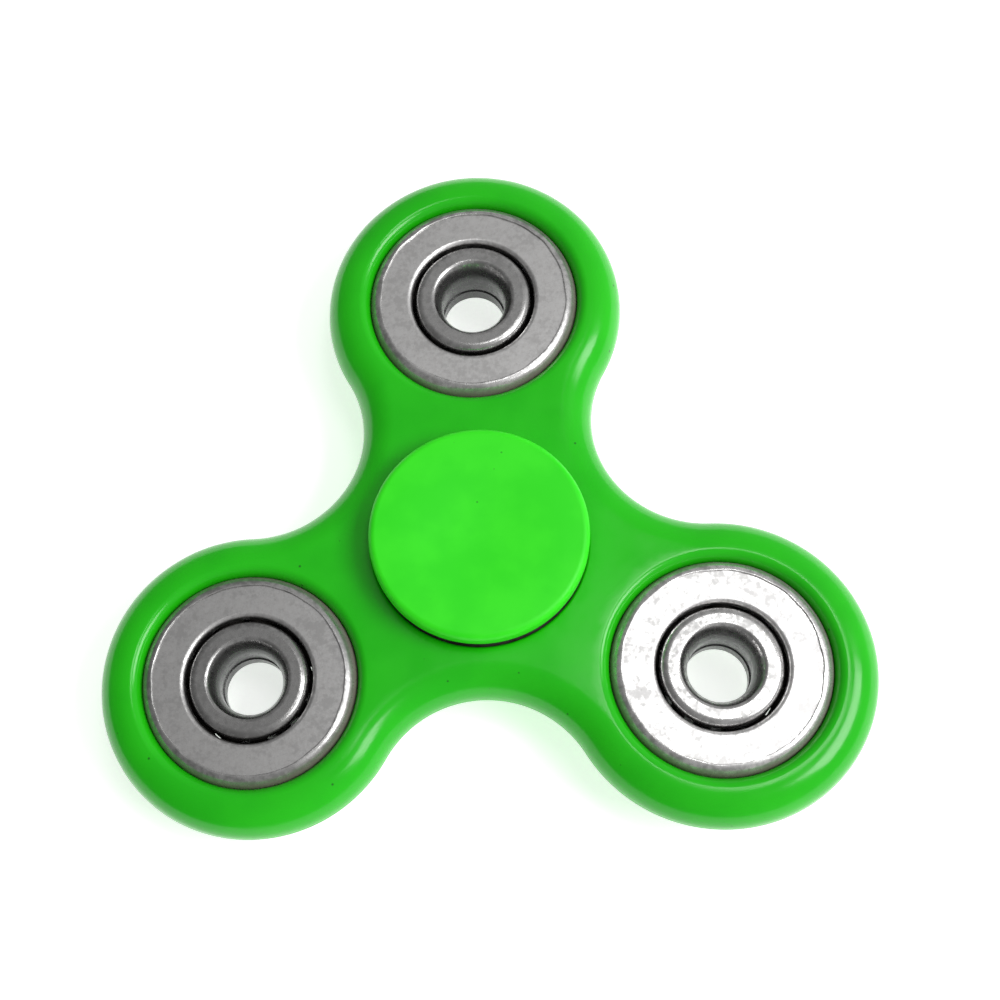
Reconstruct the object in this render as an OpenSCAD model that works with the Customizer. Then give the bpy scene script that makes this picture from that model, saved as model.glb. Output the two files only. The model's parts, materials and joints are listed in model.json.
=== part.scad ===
// Three-lobed fidget spinner.
// A moulded body turns on a centre bearing, which is held between two finger caps.
// Each lobe carries a drawn-steel ball bearing whose inner ring turns freely.
// Origin: on the spin axis, half way through the body. +Z is up, and lobe a points along +Y.

/* [Body] */
// Distance from the spin axis to the centre of each lobe. Both choices put every lobe and hollow on
// round coordinates, so that their rounded edges meet exactly.
lobe_reach = 27.238; // [27.1962, 27.238]
// Outer radius of a lobe
lobe_r = 15.7; // [15.7:0.1:17]
// Thickness of the body, whose outer edge is fully rounded
body_t = 7; // [6.6:0.1:7.2]
// Rounding round the mouth of each lobe's seat
seat_edge_r = 1.5; // [0.4:0.1:1.5]

/* [Bearing size] */
// Outside diameter of all four bearings
bearing_od = 22; // [21.8:0.1:22]
// Width of all four bearings
bearing_w = 7; // [6.8:0.1:7]
// Pitch circle diameter of the balls
ball_pitch_d = 15; // [14.9:0.05:15.1]

/* [Centre bearing] */
// Diameter of the bore
centre_bore_d = 8; // [7:0.1:8]
// Diameter of a ball
centre_ball_d = 3.969; // [3.8:0.001:3.969]
// Number of balls in the cage
centre_ball_count = 7; // [6:1:7]

/* [Lobe bearings] */
// Diameter of the bore
lobe_bore_d = 6.5; // [6:0.1:7]
// Diameter of a ball
lobe_ball_d = 3.5; // [3.4:0.05:3.5]
// Number of balls, which fill the race
lobe_ball_count = 13; // [12:1:13]
// Wall of the drawn shell
shell_wall = 0.9; // [0.8:0.05:1]
// Rounding of the shell's two shoulders
shell_shoulder_r = 1.5; // [1.2:0.1:1.5]

/* [Finger caps] */
// Diameter of a cap
cap_d = 22.2; // [21:0.1:23]
// Thickness of a cap
cap_t = 2.4; // [2:0.1:3]
// Gap between a cap and the body
cap_gap = 0.8; // [0.3:0.05:1]
// Depth of the shallow dish in a cap's face
cap_dish = 0.3; // [0.1:0.05:0.4]

/* [Hidden] */
$fn = 120;

spare = 0.5;             // how far a cutter runs past the metal or plastic that it cuts
half_span = lobe_reach * sqrt(3) / 2;
lobe_spots = [[0, lobe_reach], [-half_span, -lobe_reach / 2], [half_span, -lobe_reach / 2]];
neck_spots = [[-half_span, lobe_reach / 2], [0, -lobe_reach], [half_span, lobe_reach / 2]];
lobe_arc = 240;                     // how far round each lobe its outer edge runs, in degrees
lobe_start = [-30, 90, 210];        // where that arc begins on each lobe
neck_arc = 120;                     // how far round each hollow's centre its side runs
neck_start = [270, 30, 150];        // where that arc begins at each hollow

// Body
edge_r = body_t / 2;
rim_r = lobe_r - edge_r;            // where a lobe's flat face ends and its round edge starts
neck_r = lobe_reach - lobe_r;       // hollow side between two lobes, tangent to both
neck_flat_r = neck_r + edge_r;
neck_lap = 2;                       // how far the hollow sides run into the core
seat_r = bearing_od / 2;
centre_seat_edge_r = 0.3;

// Bearings
half_w = bearing_w / 2;
pitch_r = ball_pitch_d / 2;
ball_play = 0.04;                   // running clearance between a ball and each groove
groove_gain = 0.06;                 // how much wider a groove's radius is than the ball's
ring_chamfer_r = 0.3;

// Centre bearing
centre_ball_r = centre_ball_d / 2;
centre_bore_r = centre_bore_d / 2;
centre_inner_land_r = 6.05;
centre_outer_land_r = 8.9;
shield_seat_r = 9.6;
shield_seat_depth = 1.2;
shield_t = 0.35;
shield_recess = 0.3;
shield_bore_r = 6.35;
shield_rim_h = 0.75;
cage_t = 0.3;
cage_in_r = 6.75;
cage_out_r = 8.25;
cage_play = 0.06;
rivet_r = 0.35;
rivet_head_r = 0.55;
rivet_head_h = 0.2;

// Lobe bearings
lobe_ball_r = lobe_ball_d / 2;
lobe_bore_r = lobe_bore_d / 2;
shell_in_r = seat_r - shell_wall;
rolled_lip_t = 0.2;
cover_top = half_w - rolled_lip_t;
cover_t = 0.8;
cover_bore_r = 6.5;
cover_lip_r = 0.5;
cover_lip_drop = 0.35;
lip_r = 9.6;                        // inner edge of the shell's rolled lip
lip_edge_r = 0.15;
shell_floor_t = 0.8;
race_floor = shell_floor_t - half_w;
race_top = cover_top - cover_t;
race_land_r = 8.5;
inner_land_r = 6.1;
inner_crown_r = 0.8;
bore_lead_r = 0.3;                  // rounding of the bore's lower edge
flare_r = 4;                        // the bore's upper end opens out in a curve of this radius,
brim_r = 0.5;                       // which is rounded into the ring's face
brim_side = [-0.8, 0.6];            // from the brim's centre towards the point where the two curves meet
flare_low = half_w - brim_r - brim_side.y * (flare_r - brim_r);
brim_place = [lobe_bore_r + flare_r + brim_side.x * (flare_r - brim_r), half_w - brim_r];
bore_relief_depth = 0.12;
bore_relief_r = lobe_bore_r + bore_relief_depth;
bore_relief_low = -1.7;
bore_relief_h = 1.6;

// Finger caps
cap_r = cap_d / 2;
cap_low = body_t / 2 + cap_gap;
cap_high = cap_low + cap_t;
cap_edge_r = 0.7;
cap_under_r = 0.25;
cap_flat_w = 1.5;                   // from the dish to the cap's side, its rounded edge included
cap_dish_r = cap_r - cap_flat_w;
dish_arc_r = (pow(cap_dish_r, 2) + pow(cap_dish, 2)) / (2 * cap_dish);
dish_facets = 1440;                 // fine enough that so short a piece of so large a circle is smooth
cap_shoulder_r = 5.6;
stem_wall = 1.3;
stem_end_gap = 0.1;
stem_lead_r = 0.3;

// Sections are drawn with X as the radius from the axis and Y as the height.

module band(r_in, r_out, low, high) {
    translate([r_in, low])
        square([r_out - r_in, high - low]);
}

// What is cut from a section to round its corner at [r, h]; side and end are 1 or -1, towards the outside
module corner(r, h, side, end, radius) {
    translate([r - side * radius, h - end * radius])
        difference() {
            mirror([side < 0 ? 1 : 0, 0])
                mirror([0, end < 0 ? 1 : 0])
                    square(radius + spare);
            circle(radius);
        }
}

module turned() {
    rotate_extrude()
        children();
}

module at_lobe(i) {
    translate(lobe_spots[i])
        children();
}

module ball_row(count, ball_r) {
    for (i = [0 : count - 1])
        rotate(i * 360 / count)
            translate([pitch_r, 0, 0])
                sphere(ball_r);
}

// Ball groove of a ring; side is 1 where the groove faces outwards and -1 where it faces inwards
module groove(ball_r, side) {
    translate([pitch_r + side * (groove_gain - ball_play), 0])
        circle(ball_r + groove_gain);
}

// Body

// Half disc that rounds the edge beyond flat_r; side is 1 or -1, towards the outside
module round_edge_section(flat_r, side) {
    intersection() {
        translate([flat_r, 0])
            circle(edge_r);
        band(side > 0 ? flat_r : flat_r - edge_r, side > 0 ? flat_r + edge_r : flat_r, -edge_r, edge_r);
    }
}

module core() {
    difference() {
        linear_extrude(body_t, center = true)
            polygon([for (i = [0 : 2]) each [lobe_spots[i], neck_spots[i]]]);
        for (spot = neck_spots)
            translate(spot)
                cylinder(h = body_t + 2 * spare, r = neck_flat_r + neck_lap / 2, center = true);
    }
}

module neck_sides() {
    for (i = [0 : 2])
        translate(neck_spots[i])
            rotate_extrude(angle = neck_arc, start = neck_start[i])
                union() {
                    round_edge_section(neck_flat_r, -1);
                    band(neck_flat_r, neck_flat_r + neck_lap, -edge_r, edge_r);
                }
}

module lobe_ends() {
    for (i = [0 : 2])
        at_lobe(i)
            rotate_extrude(angle = lobe_arc, start = lobe_start[i])
                union() {
                    band(0, rim_r, -edge_r, edge_r);
                    round_edge_section(rim_r, 1);
                }
}

// Bore for a bearing, with a mouth at each end that is rounded to mouth_r
module seat_cutter(mouth_r) {
    turned()
        difference() {
            band(0, seat_r + mouth_r, -edge_r - spare, edge_r + spare);
            difference() {
                band(seat_r, seat_r + mouth_r + spare, -edge_r, edge_r);
                for (end = [-1, 1])
                    corner(seat_r, end * edge_r, -1, end, mouth_r);
            }
        }
}

module body() {
    color("limegreen")
        difference() {
            union() {
                core();
                neck_sides();
                lobe_ends();
            }
            seat_cutter(centre_seat_edge_r);
            for (i = [0 : 2])
                at_lobe(i)
                    seat_cutter(seat_edge_r);
        }
}

// Finger caps

module cap() {
    turned()
        difference() {
            union() {
                band(0, cap_r, cap_low, cap_high);
                band(0, cap_shoulder_r, half_w, cap_low);
                band(0, centre_bore_r, stem_end_gap / 2, cap_low);
            }
            band(0, centre_bore_r - stem_wall, -spare, cap_low);
            corner(cap_r, cap_high, 1, 1, cap_edge_r);
            corner(cap_r, cap_low, 1, -1, cap_under_r);
            corner(centre_bore_r, stem_end_gap / 2, 1, -1, stem_lead_r);
            intersection() {
                translate([0, cap_high - cap_dish + dish_arc_r])
                    circle(dish_arc_r, $fn = dish_facets);
                band(0, cap_r, cap_low, cap_high + spare);
            }
        }
}

module top_cap() {
    color("limegreen")
        cap();
}

module bottom_cap() {
    color("limegreen")
        mirror([0, 0, 1])
            cap();
}

// Centre bearing

module centre_outer_ring() {
    color("silver")
        turned()
            difference() {
                band(centre_outer_land_r, seat_r, -half_w, half_w);
                groove(centre_ball_r, -1);
                for (end = [-1, 1]) {
                    band(centre_outer_land_r - spare, shield_seat_r,
                         end > 0 ? half_w - shield_seat_depth : -half_w - spare,
                         end > 0 ? half_w + spare : shield_seat_depth - half_w);
                    corner(seat_r, end * half_w, 1, end, ring_chamfer_r);
                }
            }
}

module centre_inner_ring() {
    color("silver")
        turned()
            difference() {
                band(centre_bore_r, centre_inner_land_r, -half_w, half_w);
                groove(centre_ball_r, 1);
                for (end = [-1, 1])
                    corner(centre_inner_land_r, end * half_w, 1, end, ring_chamfer_r);
            }
}

module centre_balls() {
    color("gainsboro")
        ball_row(centre_ball_count, centre_ball_r);
}

module cage_half() {
    difference() {
        intersection() {
            union() {
                cylinder(h = cage_t, r = cage_out_r);
                ball_row(centre_ball_count, centre_ball_r + cage_play + cage_t);
            }
            cylinder(h = half_w, r = cage_out_r);
        }
        translate([0, 0, -spare])
            cylinder(h = half_w + 2 * spare, r = cage_in_r);
        ball_row(centre_ball_count, centre_ball_r + cage_play);
        rivet_shanks();
    }
}

module rivet_shanks() {
    for (i = [0 : centre_ball_count - 1])
        rotate((i + 0.5) * 360 / centre_ball_count)
            translate([pitch_r, 0, 0])
                cylinder(h = 2 * (cage_t + spare), r = rivet_r, center = true);
}

module centre_upper_cage() {
    color("darkgray")
        cage_half();
}

module centre_lower_cage() {
    color("darkgray")
        mirror([0, 0, 1])
            cage_half();
}

module centre_cage_rivets() {
    color("silver")
        for (i = [0 : centre_ball_count - 1])
            rotate((i + 0.5) * 360 / centre_ball_count)
                translate([pitch_r, 0, 0])
                    turned()
                        union() {
                            band(0, rivet_r, -cage_t, cage_t);
                            band(0, rivet_head_r, cage_t, cage_t + rivet_head_h);
                            band(0, rivet_head_r, -cage_t - rivet_head_h, -cage_t);
                        }
}

module shield() {
    turned()
        union() {
            band(shield_bore_r, shield_seat_r, half_w - shield_recess - shield_t, half_w - shield_recess);
            band(shield_seat_r - shield_t, shield_seat_r, half_w - shield_recess - shield_rim_h,
                 half_w - shield_recess);
        }
}

module centre_upper_shield() {
    color("silver")
        shield();
}

module centre_lower_shield() {
    color("silver")
        mirror([0, 0, 1])
            shield();
}

// Lobe bearings: a drawn cup whose rim is rolled over a cover washer, a hardened race inside it,
// a full row of balls, and a turned inner ring

module lobe_shell(i) {
    color("darkgray")
        at_lobe(i)
            turned()
                difference() {
                    union() {
                        band(shell_in_r, seat_r, -half_w, half_w);
                        band(cover_bore_r, seat_r, -half_w, race_floor);
                        band(lip_r, seat_r, cover_top, half_w);
                    }
                    for (end = [-1, 1])
                        corner(seat_r, end * half_w, 1, end, shell_shoulder_r);
                    corner(lip_r, half_w, -1, 1, lip_edge_r);
                    corner(cover_bore_r, -half_w, -1, -1, cover_lip_r);
                }
}

module lobe_cover(i) {
    color("silver")
        at_lobe(i)
            turned()
                difference() {
                    union() {
                        band(cover_bore_r, shell_in_r, race_top, cover_top);
                        band(cover_bore_r, cover_bore_r + cover_lip_r, race_top - cover_lip_drop, race_top);
                    }
                    corner(cover_bore_r, cover_top, -1, 1, cover_lip_r);
                }
}

module lobe_race(i) {
    color("gray")
        at_lobe(i)
            turned()
                difference() {
                    band(race_land_r, shell_in_r, race_floor, race_top);
                    groove(lobe_ball_r, -1);
                }
}

// What is cut from the section of an inner ring to open out the upper end of its bore
module flare() {
    difference() {
        band(lobe_bore_r - spare, brim_place.x, flare_low, half_w + spare);
        translate([lobe_bore_r + flare_r, flare_low])
            circle(flare_r);
    }
    difference() {
        polygon([
            brim_place,
            brim_place + 2 * brim_r * brim_side,
            [brim_place.x + 2 * brim_r * brim_side.x, half_w + spare],
            [brim_place.x, half_w + spare]
        ]);
        translate(brim_place)
            circle(brim_r);
    }
}

module lobe_inner_ring(i) {
    color("silver")
        at_lobe(i)
            turned()
                difference() {
                    band(lobe_bore_r, inner_land_r, -half_w, half_w);
                    groove(lobe_ball_r, 1);
                    band(lobe_bore_r - spare, bore_relief_r, bore_relief_low, bore_relief_low + bore_relief_h);
                    flare();
                    corner(lobe_bore_r, -half_w, -1, -1, bore_lead_r);
                    for (end = [-1, 1])
                        corner(inner_land_r, end * half_w, 1, end, inner_crown_r);
                }
}

module lobe_balls(i) {
    color("gainsboro")
        at_lobe(i)
            ball_row(lobe_ball_count, lobe_ball_r);
}

body();
top_cap();
bottom_cap();
centre_outer_ring();
centre_inner_ring();
centre_balls();
centre_upper_cage();
centre_lower_cage();
centre_cage_rivets();
centre_upper_shield();
centre_lower_shield();
lobe_shell(0);  // lobe_a_shell
lobe_cover(0);  // lobe_a_cover
lobe_race(0);  // lobe_a_race
lobe_inner_ring(0);  // lobe_a_inner_ring
lobe_balls(0);  // lobe_a_balls
lobe_shell(1);  // lobe_b_shell
lobe_cover(1);  // lobe_b_cover
lobe_race(1);  // lobe_b_race
lobe_inner_ring(1);  // lobe_b_inner_ring
lobe_balls(1);  // lobe_b_balls
lobe_shell(2);  // lobe_c_shell
lobe_cover(2);  // lobe_c_cover
lobe_race(2);  // lobe_c_race
lobe_inner_ring(2);  // lobe_c_inner_ring
lobe_balls(2);  // lobe_c_balls
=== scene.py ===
"""Looks for the fidget spinner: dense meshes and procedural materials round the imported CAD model.

The CAD frame gives every place and the main sizes. Lengths below are in millimetres unless they say
otherwise, and are turned into metres when a mesh is written.
"""
import json
import math

import bmesh
import bpy
from mathutils import Matrix, Vector, noise
from mathutils.geometry import delaunay_2d_cdt


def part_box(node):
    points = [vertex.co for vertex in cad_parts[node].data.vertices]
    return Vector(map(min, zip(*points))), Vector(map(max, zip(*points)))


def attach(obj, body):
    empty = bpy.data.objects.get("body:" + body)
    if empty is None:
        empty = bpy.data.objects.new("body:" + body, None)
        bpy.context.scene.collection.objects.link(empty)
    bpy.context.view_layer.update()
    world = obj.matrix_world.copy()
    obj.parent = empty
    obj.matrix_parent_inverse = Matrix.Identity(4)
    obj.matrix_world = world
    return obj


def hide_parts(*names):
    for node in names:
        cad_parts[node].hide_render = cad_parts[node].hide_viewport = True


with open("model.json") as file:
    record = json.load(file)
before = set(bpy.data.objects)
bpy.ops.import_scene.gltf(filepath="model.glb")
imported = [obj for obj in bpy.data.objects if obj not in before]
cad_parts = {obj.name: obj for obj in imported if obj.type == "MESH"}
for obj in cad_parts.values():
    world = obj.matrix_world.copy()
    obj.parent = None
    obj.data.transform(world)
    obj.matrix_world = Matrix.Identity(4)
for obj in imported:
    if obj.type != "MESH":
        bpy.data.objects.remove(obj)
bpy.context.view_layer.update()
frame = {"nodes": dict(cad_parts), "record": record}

MM = 0.001

# ---------------------------------------------------------------- sizes from the frame


def box_mm(node):
    """Lowest and highest corners of a CAD node, in millimetres."""
    low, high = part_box(node)
    return low / MM, high / MM


LOBES = ("a", "b", "c")
MOUNTS = {mount["name"]: mount for mount in frame["record"]["mounts"]}
LOBE_CENTRE = {k: Vector((*MOUNTS[f"lobe_{k}_bore"]["pos_m"][:2], 0)) / MM for k in LOBES}
BORE_R = MOUNTS["lobe_a_bore"]["dims"]["r_mm"]

REACH = LOBE_CENTRE["a"].y
HALF_T = box_mm("body")[1].z
LOBE_R = box_mm("body")[1].y - REACH
NECK_R = REACH - LOBE_R
SEAT_R = box_mm("lobe_a_shell")[1].x
HALF_W = box_mm("lobe_a_shell")[1].z
SHELL_IN_R = box_mm("lobe_a_cover")[1].x
COVER_TOP = box_mm("lobe_a_cover")[1].z
COVER_LOW = box_mm("lobe_a_cover")[0].z
RACE_TOP = box_mm("lobe_a_race")[1].z
RACE_FLOOR = box_mm("lobe_a_race")[0].z
INNER_R = box_mm("lobe_a_inner_ring")[1].x
BALL_TOP = box_mm("lobe_a_balls")[1].z
BALL_OUT_R = box_mm("lobe_a_balls")[1].x
CAP_R = box_mm("top_cap")[1].x
CAP_TOP = box_mm("top_cap")[1].z
STEM_LOW = box_mm("top_cap")[0].z
STEM_R = box_mm("centre_inner_ring")[0].x
FLOOR_Z = box_mm("bottom_cap")[0].z

# ---------------------------------------------------------------- sizes of the fine shapes

FACE_LEFT = 0.05              # flat face left between a lobe seat's mouth and the body's rounded edge
SEAT_MOUTH = (LOBE_R - HALF_T - SEAT_R - FACE_LEFT, 1.5)      # width and depth of a lobe seat's mouth
CENTRE_MOUTH = (0.3, 0.3)     # and of the centre seat's
PARTING_H = 0.03              # moulding line round the body's edge
PARTING_W = 0.10
BODY_WAVE_H = 0.012           # gentle unevenness of the moulded faces
BODY_WAVE_L = 7.0             # and the distance over which it changes

SHOULDER_R = 1.5              # rounding of the drawn shell's shoulders
SHOULDER_W = 1.14             # the upper shoulder is drawn in less than it is drawn down
SHOULDER_SLANT = 0.12         # and is part bevel, part ellipse
SHELL_FLOOR_GAP = 0.08        # between the shell's lower lip and the inner ring
LIP_R = 9.78                  # inner edge of the shell's rolled lip
LIP_H = 0.20                  # and how far it stands over the cover
LIP_WANDER = 0.16             # how far that edge wanders in and out
LIP_WANDER_L = 2.4            # and the distance over which it changes
LIP_FADE = 0.8                # width of the lip's outer part, where the wandering fades out
COVER_BORE_R = 6.5            # cover's inner edge
COVER_LIP_R = 0.5             # rounding of that edge
COVER_LIP_W = 0.5             # and thickness of the metal turned down there
CROWN_R = 0.8                 # rounding of an inner ring's outer edges
LEAD_R = 0.3                  # and of its bore's lower edge
FLARE_R = 4.0                 # curve that opens out the bore's upper end
BRIM_R = 0.5                  # rounding between that curve and the ring's face
BRIM_TURN = math.acos(0.8)    # how far the flare has turned from upright where the two meet
RELIEF_R = BORE_R + 0.12      # shallow relief turned in the bore
RELIEF_LOW = -1.7
RELIEF_TOP = -0.1
BALL_GAP = 0.04               # clearance between a ball and its groove

CAP_LOW = HALF_T + 0.8        # cap's underside, over the gap to the body
CAP_EDGE_R = 0.7              # rounding of the cap's upper edge
CAP_UNDER_R = 0.7             # and of its lower edge
CAP_DISH_R = CAP_R - 1.5      # shallow dish inside the cap's flat rim
CAP_DISH = 0.3
CAP_SHOULDER_R = 5.6          # shoulder that rests on the bearing's inner ring
STEM_WALL = 1.3

TURN_STEPS = 192              # steps round a turned piece
CAP_TURN_STEPS = 224
EDGE_STEPS = 36               # steps over the body's rounded edge
CURVE_STEPS = 14              # steps over a seat's mouth or a shell's shoulder
HELD = 0.05                   # distance from a curve's end to the edge that holds it

# ---------------------------------------------------------------- looks of the lobe bearings

# Painted light and shade: the same steel is painted lighter on lobe c, where the light falls full on it,
# and darker on lobe b.
STEEL_PAINTED_LIGHT = {"a": 1.0, "b": 0.82, "c": 1.25}      # how bright the steel of each lobe bearing is
LIP_SEED = 7.1                # moves the lip's wandering on from one lobe to the next

# Each of these is a colour, the two radii between which the steel changes to it, and how metallic it
# stays: on the shell's shoulder a stain of oxide, in an inner ring's bore painted shade.
SHELL_STAIN = ((0.27, 0.22, 0.20, 1), 10.2, 10.95, 0.25)
# Painted shade: the inner ring's bore is painted dark where it lies in shade.
BORE_PAINTED_SHADE = ((0.09, 0.09, 0.09, 1), BORE_R + 0.7, BORE_R + 0.05, 0.8)

# ---------------------------------------------------------------- camera

CAMERA_TARGET = Vector((-8.42, -6.0, 0.0))
CAMERA_DISTANCE = 163.51
CAMERA_AZIMUTH = math.radians(14.68)
CAMERA_ELEVATION = math.radians(74.13)
CAMERA_ROLL = math.radians(-15.94)
CAMERA_SENSOR = 36
CAMERA_LENS = 57.08
CAMERA_SHIFT = (0.10, 0.11)


def make_camera():
    """The camera over the spinner, tilted and turned a little, close enough for strong perspective."""
    data = bpy.data.cameras.new("camera")
    data.sensor_width = CAMERA_SENSOR
    data.lens = CAMERA_LENS
    data.shift_x, data.shift_y = CAMERA_SHIFT
    data.clip_start = 0.005
    data.clip_end = 20
    level = math.cos(CAMERA_ELEVATION)
    back = Vector((math.sin(CAMERA_AZIMUTH) * level, -math.cos(CAMERA_AZIMUTH) * level,
                   math.sin(CAMERA_ELEVATION)))
    right = Vector((0, 0, 1)).cross(back).normalized()
    up = back.cross(right)
    turn = Matrix.Rotation(CAMERA_ROLL, 3, back)
    axes = Matrix((turn @ right, turn @ up, back)).transposed().to_4x4()
    camera = bpy.data.objects.new("camera", data)
    camera.matrix_world = Matrix.Translation((CAMERA_TARGET + back * CAMERA_DISTANCE) * MM) @ axes
    bpy.context.scene.collection.objects.link(camera)
    bpy.context.scene.camera = camera


# ---------------------------------------------------------------- materials


class Shade:
    """A Principled material and the few node helpers that the materials below share."""

    def __init__(self, name, seed=0.0, **constants):
        self.material = bpy.data.materials.new(name)
        self.material.use_nodes = True
        self.tree = self.material.node_tree
        self.shader = self.tree.nodes["Principled BSDF"]
        for socket, value in constants.items():
            self.shader.inputs[socket.replace("_", " ")].default_value = value
        place = self.tree.nodes.new("ShaderNodeTexCoord")
        scale = self.tree.nodes.new("ShaderNodeMapping")
        scale.inputs["Scale"].default_value = (1 / MM, 1 / MM, 1 / MM)
        self.tree.links.new(place.outputs["Object"], scale.inputs["Vector"])
        self.axis_place = scale.outputs["Vector"]
        shift = self.tree.nodes.new("ShaderNodeMapping")
        shift.inputs["Location"].default_value = (seed * 17.3, seed * 5.9, seed * 11.7)
        self.tree.links.new(self.axis_place, shift.inputs["Vector"])
        self.place = shift.outputs["Vector"]

    def node(self, kind, **inputs):
        made = self.tree.nodes.new(kind)
        for name, value in inputs.items():
            socket = made.inputs[name.replace("_", " ")]
            if isinstance(value, bpy.types.NodeSocket):
                self.tree.links.new(value, socket)
            else:
                socket.default_value = value
        return made

    def stretched(self, scale, turn=(0, 0, 0)):
        made = self.node("ShaderNodeMapping", Vector=self.place, Scale=scale, Rotation=turn)
        return made.outputs["Vector"]

    def noise(self, scale, detail=2.0, roughness=0.5, distortion=0.0, place=None):
        made = self.node("ShaderNodeTexNoise", Vector=place or self.place, Scale=scale, Detail=detail,
                         Roughness=roughness, Distortion=distortion)
        return made.outputs["Fac"]

    def specks(self, scale, radius, place=None):
        """1 inside sparse little dots of about that radius, in cells 1 / scale across."""
        made = self.node("ShaderNodeTexVoronoi", Vector=place or self.place, Scale=scale)
        return self.ramp(made.outputs["Distance"], radius * 0.6, radius, 1.0, 0.0)

    def ramp(self, value, low, high, at_low=0.0, at_high=1.0):
        made = self.node("ShaderNodeMapRange", Value=value)
        made.inputs["From Min"].default_value = low
        made.inputs["From Max"].default_value = high
        made.inputs["To Min"].default_value = at_low
        made.inputs["To Max"].default_value = at_high
        made.interpolation_type = "SMOOTHSTEP"
        return made.outputs["Result"]

    def math(self, operation, a, b=0.0):
        made = self.tree.nodes.new("ShaderNodeMath")
        made.operation = operation
        for socket, value in zip(made.inputs, (a, b)):
            if isinstance(value, bpy.types.NodeSocket):
                self.tree.links.new(value, socket)
            else:
                socket.default_value = value
        return made.outputs["Value"]

    def mix(self, factor, a, b):
        """Colour a where factor is 0 and b where it is 1."""
        made = self.tree.nodes.new("ShaderNodeMix")
        made.data_type = "RGBA"
        for socket, value in ((made.inputs["Factor"], factor), (made.inputs[6], a), (made.inputs[7], b)):
            if isinstance(value, bpy.types.NodeSocket):
                self.tree.links.new(value, socket)
            else:
                socket.default_value = value
        return made.outputs[2]

    def radius(self):
        """Distance in millimetres from the object's own Z axis."""
        flat = self.node("ShaderNodeVectorMath", Vector=self.axis_place)
        flat.operation = "MULTIPLY"
        flat.inputs[1].default_value = (1, 1, 0)
        length = self.tree.nodes.new("ShaderNodeVectorMath")
        length.operation = "LENGTH"
        self.tree.links.new(flat.outputs["Vector"], length.inputs[0])
        return length.outputs["Value"]

    def bump(self, height, depth, normal=None):
        """Bumps depth millimetres high."""
        made = self.node("ShaderNodeBump", Height=height, Distance=depth * MM, Strength=1.0)
        if normal is not None:
            self.tree.links.new(normal, made.inputs["Normal"])
        return made.outputs["Normal"]

    def use(self, **sockets):
        for name, value in sockets.items():
            self.tree.links.new(value, self.shader.inputs[name.replace("_", " ")])
        return self.material


def body_plastic():
    shade = Shade("body_plastic", Specular_IOR_Level=0.4)
    cloud = shade.noise(0.12, detail=3)
    base = shade.mix(shade.ramp(cloud, 0.35, 0.65), (0.010, 0.47, 0.003, 1), (0.014, 0.52, 0.004, 1))
    dust = shade.specks(0.35, 0.055)
    base = shade.mix(shade.math("MULTIPLY", dust, 0.8), base, (0.004, 0.09, 0.004, 1))
    smear = shade.noise(0.25, detail=5, roughness=0.6)
    rough = shade.ramp(smear, 0.3, 0.7, 0.15, 0.22)
    fine = shade.noise(1.6, detail=4, roughness=0.55)
    hair = shade.noise(1.0, detail=2, place=shade.stretched((0.5, 22, 0.5), (0, 0, 0.6)))
    normal = shade.bump(fine, 0.004)
    normal = shade.bump(shade.ramp(hair, 0.62, 0.72), 0.0006, normal)
    return shade.use(Base_Color=base, Roughness=rough, Normal=normal)


def cap_plastic():
    shade = Shade("cap_plastic", Specular_IOR_Level=0.3)
    cloud = shade.noise(0.16, detail=4)
    base = shade.mix(shade.ramp(cloud, 0.35, 0.65), (0.026, 0.77, 0.008, 1), (0.038, 0.84, 0.012, 1))
    dust = shade.specks(0.4, 0.05)
    base = shade.mix(shade.math("MULTIPLY", dust, 0.6), base, (0.006, 0.2, 0.006, 1))
    rough = shade.ramp(shade.noise(0.5, detail=5), 0.3, 0.7, 0.38, 0.5)
    grain = shade.noise(9, detail=3, roughness=0.7)
    normal = shade.bump(grain, 0.006)
    return shade.use(Base_Color=base, Roughness=rough, Normal=normal)


def mottled_steel(name, seed, light, dark, smooth, rough, turned=0.0, stain_and_shade=None):
    """Dull steel with cloudy patches, pits and scratches. turned is the height of its turning marks."""
    shade = Shade(name, seed, Metallic=1.0)
    cloud = shade.noise(0.4, detail=5, roughness=0.55)
    fleck = shade.noise(1.8, detail=4, roughness=0.6)
    both = shade.math("ADD", shade.math("MULTIPLY", cloud, 0.45), shade.math("MULTIPLY", fleck, 0.55))
    tone = shade.ramp(both, 0.40, 0.60)
    base = shade.mix(tone, dark, light)
    pits = shade.specks(1.3, 0.07)
    base = shade.mix(shade.math("MULTIPLY", pits, 0.35), base, (0.15, 0.14, 0.13, 1))
    # Between two radii the steel changes to another colour: a real oxide stain on a shell's shoulder,
    # painted shade in an inner ring's bore.
    if stain_and_shade:
        colour, start, end, metal_left = stain_and_shade
        base = shade.mix(shade.ramp(shade.radius(), start, end), base, colour)
        shade.use(Metallic=shade.ramp(shade.radius(), start, end, 1.0, metal_left))
    roughness = shade.ramp(tone, 0.0, 1.0, rough, smooth)
    grain = shade.noise(2.4, detail=2, roughness=0.5)
    normal = shade.bump(grain, 0.006)
    if turned:
        rings = shade.node("ShaderNodeTexWave", Vector=shade.axis_place, Scale=1.4, Distortion=0.6,
                           Detail=2.0)
        rings.wave_type = "RINGS"
        rings.rings_direction = "Z"
        normal = shade.bump(rings.outputs["Fac"], turned, normal)
    scratch = shade.noise(1.0, detail=2, place=shade.stretched((0.6, 16, 0.6), (0, 0, 0.9 + seed)))
    normal = shade.bump(shade.ramp(scratch, 0.64, 0.72), 0.0004, normal)
    return shade.use(Base_Color=base, Roughness=roughness, Normal=normal)


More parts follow.
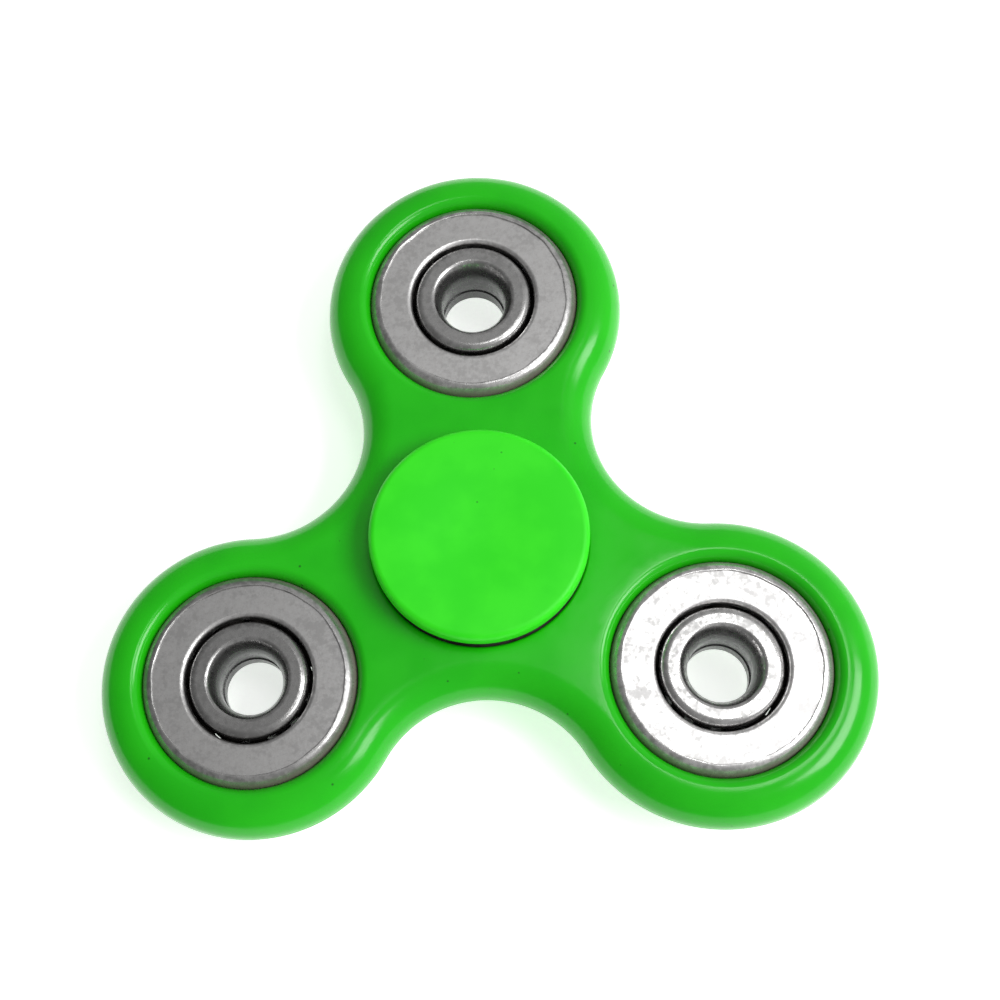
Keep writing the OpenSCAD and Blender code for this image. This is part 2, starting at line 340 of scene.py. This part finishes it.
def polished_steel():
    """The centre bearing's balls, with a thin uneven film of oil."""
    shade = Shade("ball_steel", Metallic=1.0)
    film = shade.noise(0.8, detail=4)
    base = shade.mix(shade.ramp(film, 0.3, 0.7), (0.62, 0.61, 0.60, 1), (0.72, 0.71, 0.70, 1))
    rough = shade.ramp(shade.noise(2.5, detail=3), 0.3, 0.7, 0.08, 0.18)
    return shade.use(Base_Color=base, Roughness=rough, Normal=shade.bump(shade.noise(6.0), 0.002))


def painted_shade_steel():
    """Bearing steel painted nearly black as painted shade, deep in the lobe bearings and under the caps
    where they lie in shade.
    """
    shade = Shade("painted_shade_steel", Specular_IOR_Level=0.15)
    film = shade.ramp(shade.noise(0.9, detail=4), 0.35, 0.65)
    base = shade.mix(film, (0.016, 0.014, 0.012, 1), (0.030, 0.028, 0.025, 1))
    rough = shade.ramp(film, 0.0, 1.0, 0.8, 0.65)
    return shade.use(Base_Color=base, Roughness=rough, Normal=shade.bump(shade.noise(3.0), 0.01))


def floor_paper():
    shade = Shade("floor_paper", Roughness=0.9, Specular_IOR_Level=0.2, Emission_Strength=0.6)
    cloud = shade.noise(0.02, detail=4)
    base = shade.mix(cloud, (0.90, 0.90, 0.90, 1), (0.92, 0.92, 0.92, 1))
    return shade.use(Base_Color=base, Normal=shade.bump(shade.noise(1.2, detail=4), 0.01))


# ---------------------------------------------------------------- meshes


def write_piece(name, vertices, faces, material, body, slot, node, centre=Vector()):
    """A smooth-shaded piece in metres that stands for a CAD node and rides on its body."""
    mesh = bpy.data.meshes.new(name)
    mesh.from_pydata([Vector(v) * MM for v in vertices], [], faces)
    clean = bmesh.new()
    clean.from_mesh(mesh)
    bmesh.ops.remove_doubles(clean, verts=clean.verts, dist=1e-7)
    bmesh.ops.recalc_face_normals(clean, faces=clean.faces)
    clean.to_mesh(mesh)
    clean.free()
    mesh.shade_smooth()
    mesh.materials.append(material)
    piece = bpy.data.objects.new(name, mesh)
    piece.location = centre * MM
    bpy.context.scene.collection.objects.link(piece)
    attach(piece, body)
    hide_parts(node)
    return piece


def rounded(corners, hold=0.04, step=math.radians(9)):
    """A closed section from corners (radius, height, rounding), with a held edge beside each curve."""
    points = []
    count = len(corners)
    for i, (r, z, fillet) in enumerate(corners):
        here = Vector((r, z))
        if fillet <= 0:
            points.append(here)
            continue
        before = (Vector(corners[i - 1][:2]) - here).normalized()
        after = (Vector(corners[(i + 1) % count][:2]) - here).normalized()
        half = before.angle(after) / 2
        reach = fillet / math.tan(half)
        middle = here + (before + after).normalized() * fillet / math.sin(half)
        start, end = here + before * reach, here + after * reach
        points.append(start + before * min(hold, fillet / 2))
        steps = max(3, round((math.pi - 2 * half) / step))
        first = start - middle
        turn = -first.angle_signed(end - middle)
        for s in range(steps + 1):
            spoke = first.copy()
            spoke.rotate(Matrix.Rotation(turn * s / steps, 2))
            points.append(middle + spoke)
        points.append(end + after * min(hold, fillet / 2))
    return points


def lathe(section, segments=TURN_STEPS, closed=True, shift=None):
    """Vertices and faces of a section turned about Z. Points on the axis become one vertex.

    shift, where it is given, moves each vertex.
    """
    vertices, faces, rings = [], [], []
    for point in section:
        r, z = point
        if r < 1e-6:
            rings.append([len(vertices)] * segments)
            vertices.append(Vector((0, 0, z)))
            continue
        rings.append(range(len(vertices), len(vertices) + segments))
        for s in range(segments):
            angle = math.tau * s / segments
            place = Vector((r * math.cos(angle), r * math.sin(angle), z))
            vertices.append(shift(place) if shift else place)
    pairs = list(zip(rings, rings[1:]))
    if closed:
        pairs.append((rings[-1], rings[0]))
    for low, high in pairs:
        for s in range(segments):
            t = (s + 1) % segments
            loop = [low[s], low[t], high[t], high[s]]
            loop = [v for i, v in enumerate(loop) if v != loop[i - 1]]
            if len(loop) > 2:
                faces.append(loop)
    return vertices, faces


def polar(radius, degrees):
    return Vector((radius * math.cos(math.radians(degrees)), radius * math.sin(math.radians(degrees))))


def body_outline(spacing=0.42):
    """Points round the body's widest outline, each with its outward direction."""
    points = []
    lobe_steps = round(math.radians(240) * LOBE_R / spacing)
    neck_steps = round(math.radians(120) * NECK_R / spacing)
    for k in range(3):
        heading = 90 + 120 * k
        lobe = polar(REACH, heading)
        for s in range(lobe_steps):
            out = polar(1, heading - 120 + 240 * s / lobe_steps)
            points.append((lobe + out * LOBE_R, out))
        neck = polar(REACH, heading + 60)
        for s in range(neck_steps):
            inward = polar(1, heading + 60 + 240 - 120 * s / neck_steps)
            points.append((neck + inward * NECK_R, -inward))
    return points


def circle(centre, radius, count):
    return [centre + polar(radius, 360 * s / count) for s in range(count)]


def in_flat_face(p, seats):
    """True inside the body's flat face: in a lobe's disc or in the core, and outside every seat."""
    if any((p - centre).length < radius for centre, radius in seats):
        return False
    if any((p - polar(REACH, 90 + 120 * k)).length < LOBE_R - HALF_T for k in range(3)):
        return True
    if any((p - polar(REACH, 150 + 120 * k)).length < NECK_R + HALF_T for k in range(3)):
        return False
    return all(p.dot(polar(1, 60 * k)) < REACH * math.cos(math.radians(30)) for k in range(6))


def flat_face(outline, seats, spacing=0.9):
    """Vertices and triangles that fill the flat face between the outline and the seats."""
    loops = [[point - out * HALF_T for point, out in outline]]
    loops += [circle(centre, radius, count) for centre, radius, count in seats]
    points, edges = [], []
    for loop in loops:
        first = len(points)
        points += loop
        edges += [(first + i, first + (i + 1) % len(loop)) for i in range(len(loop))]
    holes = [(centre, radius) for centre, radius, count in seats]
    wide_holes = [(centre, radius + spacing / 2) for centre, radius in holes]
    reach = REACH + LOBE_R
    row_pitch = spacing * 0.866      # rows of equal-sided triangles
    rows = round(reach / row_pitch)
    columns = round(reach / spacing)
    rim = loops[0]
    for row in range(-rows, rows + 1):
        for column in range(-columns, columns + 1):
            p = Vector(((column + 0.5 * (row % 2)) * spacing, row * row_pitch))
            if in_flat_face(p, wide_holes) and min((p - q).length for q in rim) > spacing / 2:
                points.append(p)
    made = delaunay_2d_cdt(points, edges, [], 0, 1e-6)
    flat, triangles = made[0], made[2]
    kept = [t for t in triangles if in_flat_face(sum((flat[i] for i in t), Vector((0, 0))) / 3, holes)]
    return flat, kept


def body_mesh():
    """The body: rounded edge, two flat faces, and four seats with rounded mouths."""
    vertices, faces = [], []

    def add(new_vertices, new_faces):
        first = len(vertices)
        vertices.extend(new_vertices)
        faces.extend([[first + i for i in face] for face in new_faces])

    outline = body_outline()
    angles = [math.pi * s / EDGE_STEPS for s in range(EDGE_STEPS + 1)]
    ridge = [math.pi / 2 + PARTING_W / HALF_T * s for s in (-1.5, -1, -0.5, 0, 0.5, 1, 1.5)]
    angles = sorted([a for a in angles if abs(a - math.pi / 2) > 2 * PARTING_W / HALF_T] + ridge)
    edge = []
    for a in angles:
        height = HALF_T * math.cos(a)
        proud = PARTING_H * math.exp(-(height / PARTING_W * 1.5) ** 2)
        for point, out in outline:
            spot = point - out * (HALF_T * (1 - math.sin(a)) - proud)
            edge.append(Vector((spot.x, spot.y, height)))
    n = len(outline)
    add(edge, [[ring * n + i, ring * n + (i + 1) % n, (ring + 1) * n + (i + 1) % n, (ring + 1) * n + i]
               for ring in range(len(angles) - 1) for i in range(n)])

    seats = [(Vector((0, 0)), CENTRE_MOUTH)] + [(LOBE_CENTRE[k].xy, SEAT_MOUTH) for k in LOBES]
    holes = [(centre, SEAT_R + width, TURN_STEPS) for centre, (width, depth) in seats]
    flat, triangles = flat_face(outline, holes)
    for height in (HALF_T, -HALF_T):
        add([Vector((p.x, p.y, height)) for p in flat], triangles)

    for centre, (width, depth) in seats:
        arc = [math.pi / 2 * s / CURVE_STEPS for s in range(CURVE_STEPS + 1)]
        upper = [(SEAT_R + width * (1 - math.sin(a)), HALF_T - depth * (1 - math.cos(a))) for a in arc]
        wall = [(SEAT_R, z) for z in (HALF_T - depth - HELD, 0.0, depth + HELD - HALF_T)]
        section = upper + wall + [(r, -z) for r, z in reversed(upper)]
        turned, sides = lathe(section, closed=False)
        add([v + centre.to_3d() for v in turned], sides)
    return vertices, faces


def wavy(piece, height, length):
    """Moves a moulded piece's surface in and out a little, as cooling plastic does."""
    mesh = piece.data
    moved = [v.co + v.normal * MM * height * noise.noise(v.co / MM / length) for v in mesh.vertices]
    for vertex, place in zip(mesh.vertices, moved):
        vertex.co = place
    mesh.update()


def cap_section():
    """Half section of the upper cap, from the dish's middle round the cap to the stem's inside.

    The first two corners of the rim only give the others their directions, and are left out.
    """
    steps = 24
    dish = [(CAP_DISH_R * s / steps, CAP_TOP - CAP_DISH * (1 + math.cos(math.pi * s / steps)) / 2)
            for s in range(steps)]
    stem_in = STEM_R - STEM_WALL
    rim = rounded([(0, CAP_LOW, 0), (CAP_DISH_R - 0.4, CAP_TOP - 0.001, 0), (CAP_DISH_R, CAP_TOP, 0.1),
                   (CAP_R, CAP_TOP, CAP_EDGE_R), (CAP_R, CAP_LOW, CAP_UNDER_R),
                   (CAP_SHOULDER_R, CAP_LOW, 0.05), (CAP_SHOULDER_R, HALF_W, 0.05),
                   (STEM_R, HALF_W, 0.05), (STEM_R, STEM_LOW, 0.3), (stem_in, STEM_LOW, 0.1),
                   (stem_in, CAP_LOW, 0.1)])
    return [Vector(p) for p in dish] + rim[2:] + [Vector((0, CAP_LOW))]


def shell_section():
    """Section of a drawn shell, from the wall's top over the shoulder and lip to the cup's floor."""
    lip_top = COVER_TOP + LIP_H
    wall_top = HALF_W - SHOULDER_R
    floor_in = INNER_R + SHELL_FLOOR_GAP
    shoulder = []
    for s in range(CURVE_STEPS + 1):
        a = math.pi / 2 * s / CURVE_STEPS
        inward = (1 - SHOULDER_SLANT) * (1 - math.cos(a)) + SHOULDER_SLANT * s / CURVE_STEPS
        rise = (1 - SHOULDER_SLANT) * math.sin(a) + SHOULDER_SLANT * s / CURVE_STEPS
        shoulder.append((SEAT_R - SHOULDER_W * inward, wall_top + (lip_top - wall_top) * rise, 0))
    return rounded(shoulder + [
        (LIP_R, lip_top - 0.02, 0.05), (LIP_R, COVER_TOP, 0.02), (SHELL_IN_R, COVER_TOP, 0),
        (SHELL_IN_R, RACE_FLOOR, 0.1), (floor_in, RACE_FLOOR, 0.1), (floor_in, -HALF_W, 0.5),
        (SEAT_R, -HALF_W, SHOULDER_R)])


def cover_section():
    """Section of a cover: a flat washer whose inner edge is turned down."""
    lip_out = COVER_BORE_R + COVER_LIP_W
    return rounded([(SHELL_IN_R, COVER_TOP, 0.03), (COVER_BORE_R, COVER_TOP, COVER_LIP_R),
                    (COVER_BORE_R, COVER_LOW, 0.1), (lip_out, COVER_LOW, 0.1), (lip_out, RACE_TOP, 0.1),
                    (SHELL_IN_R, RACE_TOP, 0.03)])


def inner_ring_section():
    """Section of a lobe's inner ring, from its upper crown down the flared bore and up the ball groove."""
    ball_r = BALL_TOP
    pitch_r = BALL_OUT_R - ball_r
    groove_r = ball_r + BALL_GAP
    reach = math.acos((pitch_r - INNER_R) / groove_r)
    groove = [(pitch_r - groove_r * math.cos(a), groove_r * math.sin(a), 0)
              for a in (reach * s / 12 for s in range(-12, 13))]
    apart = FLARE_R - BRIM_R
    brim = Vector((BORE_R + FLARE_R - apart * math.cos(BRIM_TURN), HALF_W - BRIM_R))
    flare = Vector((BORE_R + FLARE_R, brim.y - apart * math.sin(BRIM_TURN)))
    rest = math.pi / 2 - BRIM_TURN
    arc_steps = 8
    arcs = ((brim, BRIM_R, math.pi / 2, rest, 0), (flare, FLARE_R, BRIM_TURN, BRIM_TURN, 1))
    mouth = [(brim.x + 0.04, HALF_W, 0)]
    for middle, radius, start, span, first in arcs:
        for s in range(first, arc_steps + 1):
            a = start - span * s / arc_steps
            mouth.append((middle.x - radius * math.cos(a), middle.y + radius * math.sin(a), 0))
    return rounded([(INNER_R, HALF_W, CROWN_R)] + mouth + [
        (BORE_R, RELIEF_TOP, 0.03), (RELIEF_R, RELIEF_TOP, 0.03),
        (RELIEF_R, RELIEF_LOW, 0.03), (BORE_R, RELIEF_LOW, 0.03),
        (BORE_R, -HALF_W, LEAD_R), (INNER_R, -HALF_W, CROWN_R)] + groove)


def uneven_lip(seed):
    """The rolled lip's edge wanders a little, as a spun edge does."""

    def shift(place):
        r = place.xy.length
        if place.z < COVER_TOP - 0.01 or r > LIP_R + LIP_FADE:
            return place
        wander = noise.noise(Vector((place.x / LIP_WANDER_L, place.y / LIP_WANDER_L, seed)))
        fade = 1 - max(0.0, (r - LIP_R) / LIP_FADE)
        stretch = 1 + LIP_WANDER * wander * fade / r
        return Vector((place.x * stretch, place.y * stretch, place.z))

    return shift


# ---------------------------------------------------------------- assembly


def build_plastic():
    plastic, satin = body_plastic(), cap_plastic()
    moulding = write_piece("body_moulding", *body_mesh(), plastic, "spinner", "body_plastic", "body")
    wavy(moulding, BODY_WAVE_H, BODY_WAVE_L)
    section = cap_section()
    for side, name in ((1, "top_cap"), (-1, "bottom_cap")):
        turned = lathe([Vector((r, side * z)) for r, z in section], CAP_TURN_STEPS, closed=False)
        write_piece(f"{name}_moulding", *turned, satin, "hub", "cap_plastic", name)


def steel_colour(grey):
    return (grey, grey * 0.99, grey * 0.98, 1)


def lobe_steel(slot, k, seed, light, dark, smooth, rough, stain_and_shade=None):
    """A lobe bearing's steel, lightened or darkened by that lobe's painted light and shade."""
    tone = STEEL_PAINTED_LIGHT[k]
    return mottled_steel(f"{slot}_{k}", seed, steel_colour(light * tone), steel_colour(dark * tone),
                         smooth, rough, stain_and_shade=stain_and_shade)


def build_lobes():
    for i, k in enumerate(LOBES):
        shell_steel = lobe_steel("shell_steel", k, 1 + i, 0.68, 0.38, 0.26, 0.38, SHELL_STAIN)
        cover_steel = lobe_steel("cover_steel", k, 5 + i, 0.78, 0.48, 0.28, 0.42)
        ring_steel = lobe_steel("ring_steel", k, 9 + i, 0.52, 0.32, 0.22, 0.34, BORE_PAINTED_SHADE)
        lip = uneven_lip(i * LIP_SEED)
        parts = (
            ("shell", lathe(shell_section(), shift=lip), shell_steel, "spinner", "shell_steel"),
            ("cover", lathe(cover_section()), cover_steel, "spinner", "cover_steel"),
            ("inner_ring", lathe(inner_ring_section()), ring_steel, f"lobe_{k}_ring", "ring_steel"),
        )
        for part, turned, steel, body, slot in parts:
            write_piece(f"lobe_{k}_{part}_turned", *turned, steel, body, slot, f"lobe_{k}_{part}",
                        LOBE_CENTRE[k])


def dress_inner_parts():
    """The parts that stay as CAD shapes: races, balls, and the whole centre bearing."""
    race = mottled_steel("race_steel", 21, (0.30, 0.29, 0.28, 1), (0.18, 0.17, 0.16, 1), 0.3, 0.45,
                         turned=0.002)
    ribbon = mottled_steel("ribbon_steel", 23, (0.55, 0.54, 0.52, 1), (0.4, 0.39, 0.38, 1), 0.3, 0.45)
    sheet = mottled_steel("sheet_steel", 27, (0.6, 0.6, 0.6, 1), (0.48, 0.48, 0.48, 1), 0.25, 0.35)
    ball = polished_steel()
    painted_shade = painted_shade_steel()
    for name, node in frame["nodes"].items():
        steel = race
        # Painted shade: the lobe bearings' races and balls and the centre bearing's outer ring are painted
        # nearly black.
        if name.startswith("lobe") or name == "centre_outer_ring":
            steel = painted_shade
        elif "ball" in name:
            steel = ball
        elif "cage" in name:
            steel = ribbon
        elif "shield" in name:
            steel = sheet
        node.data.materials.clear()
        node.data.materials.append(steel)


# ---------------------------------------------------------------- studio

BOX_DISTANCE = 1.0            # metres, as are the lights' and the floor's other sizes
FLOOR_HALF = 3.0
SKY_DARK, SKY_LIGHT = 0.20, 0.60      # grey of the surroundings on the left and on the right
SKY_SPAN = 0.8                # how far to each side the change goes on


def soft_box(name, direction, width, height, strength):
    """A rectangular soft light that faces the spinner. strength is its brightness."""
    data = bpy.data.lights.new(name, "AREA")
    data.shape = "RECTANGLE"
    data.size = width
    data.size_y = height
    data.energy = strength * width * height * math.pi
    lamp = bpy.data.objects.new(name, data)
    away = Vector(direction).normalized()
    lamp.location = away * BOX_DISTANCE
    lamp.rotation_euler = away.to_track_quat("Z", "Y").to_euler()
    bpy.context.scene.collection.objects.link(lamp)


def build_studio():
    world = bpy.data.worlds.new("studio")
    world.use_nodes = True
    nodes, links = world.node_tree.nodes, world.node_tree.links
    kinds = ("TexCoord", "SeparateXYZ", "MapRange")
    place, split, side = (nodes.new(f"ShaderNode{kind}") for kind in kinds)
    sides = (("From Min", -SKY_SPAN), ("From Max", SKY_SPAN), ("To Min", SKY_DARK), ("To Max", SKY_LIGHT))
    for socket, value in sides:
        side.inputs[socket].default_value = value
    links.new(place.outputs["Generated"], split.inputs["Vector"])
    links.new(split.outputs["X"], side.inputs["Value"])
    links.new(side.outputs["Result"], nodes["Background"].inputs["Color"])
    bpy.context.scene.world = world
    bpy.context.scene.view_settings.view_transform = "Standard"
    soft_box("overhead_box", (0.22, 0.13, 0.965), 0.26, 0.26, 5.2)
    soft_box("side_box", (0.66, -0.10, 0.75), 0.60, 0.42, 8.0)

    mesh = bpy.data.meshes.new("floor")
    corners = [(x * FLOOR_HALF, y * FLOOR_HALF, 0) for x, y in ((-1, -1), (1, -1), (1, 1), (-1, 1))]
    mesh.from_pydata(corners, [], [(0, 1, 2, 3)])
    mesh.materials.append(floor_paper())
    floor = bpy.data.objects.new("floor", mesh)
    floor.location.z = FLOOR_Z * MM
    bpy.context.scene.collection.objects.link(floor)


make_camera()
build_plastic()
build_lobes()
dress_inner_parts()
build_studio()
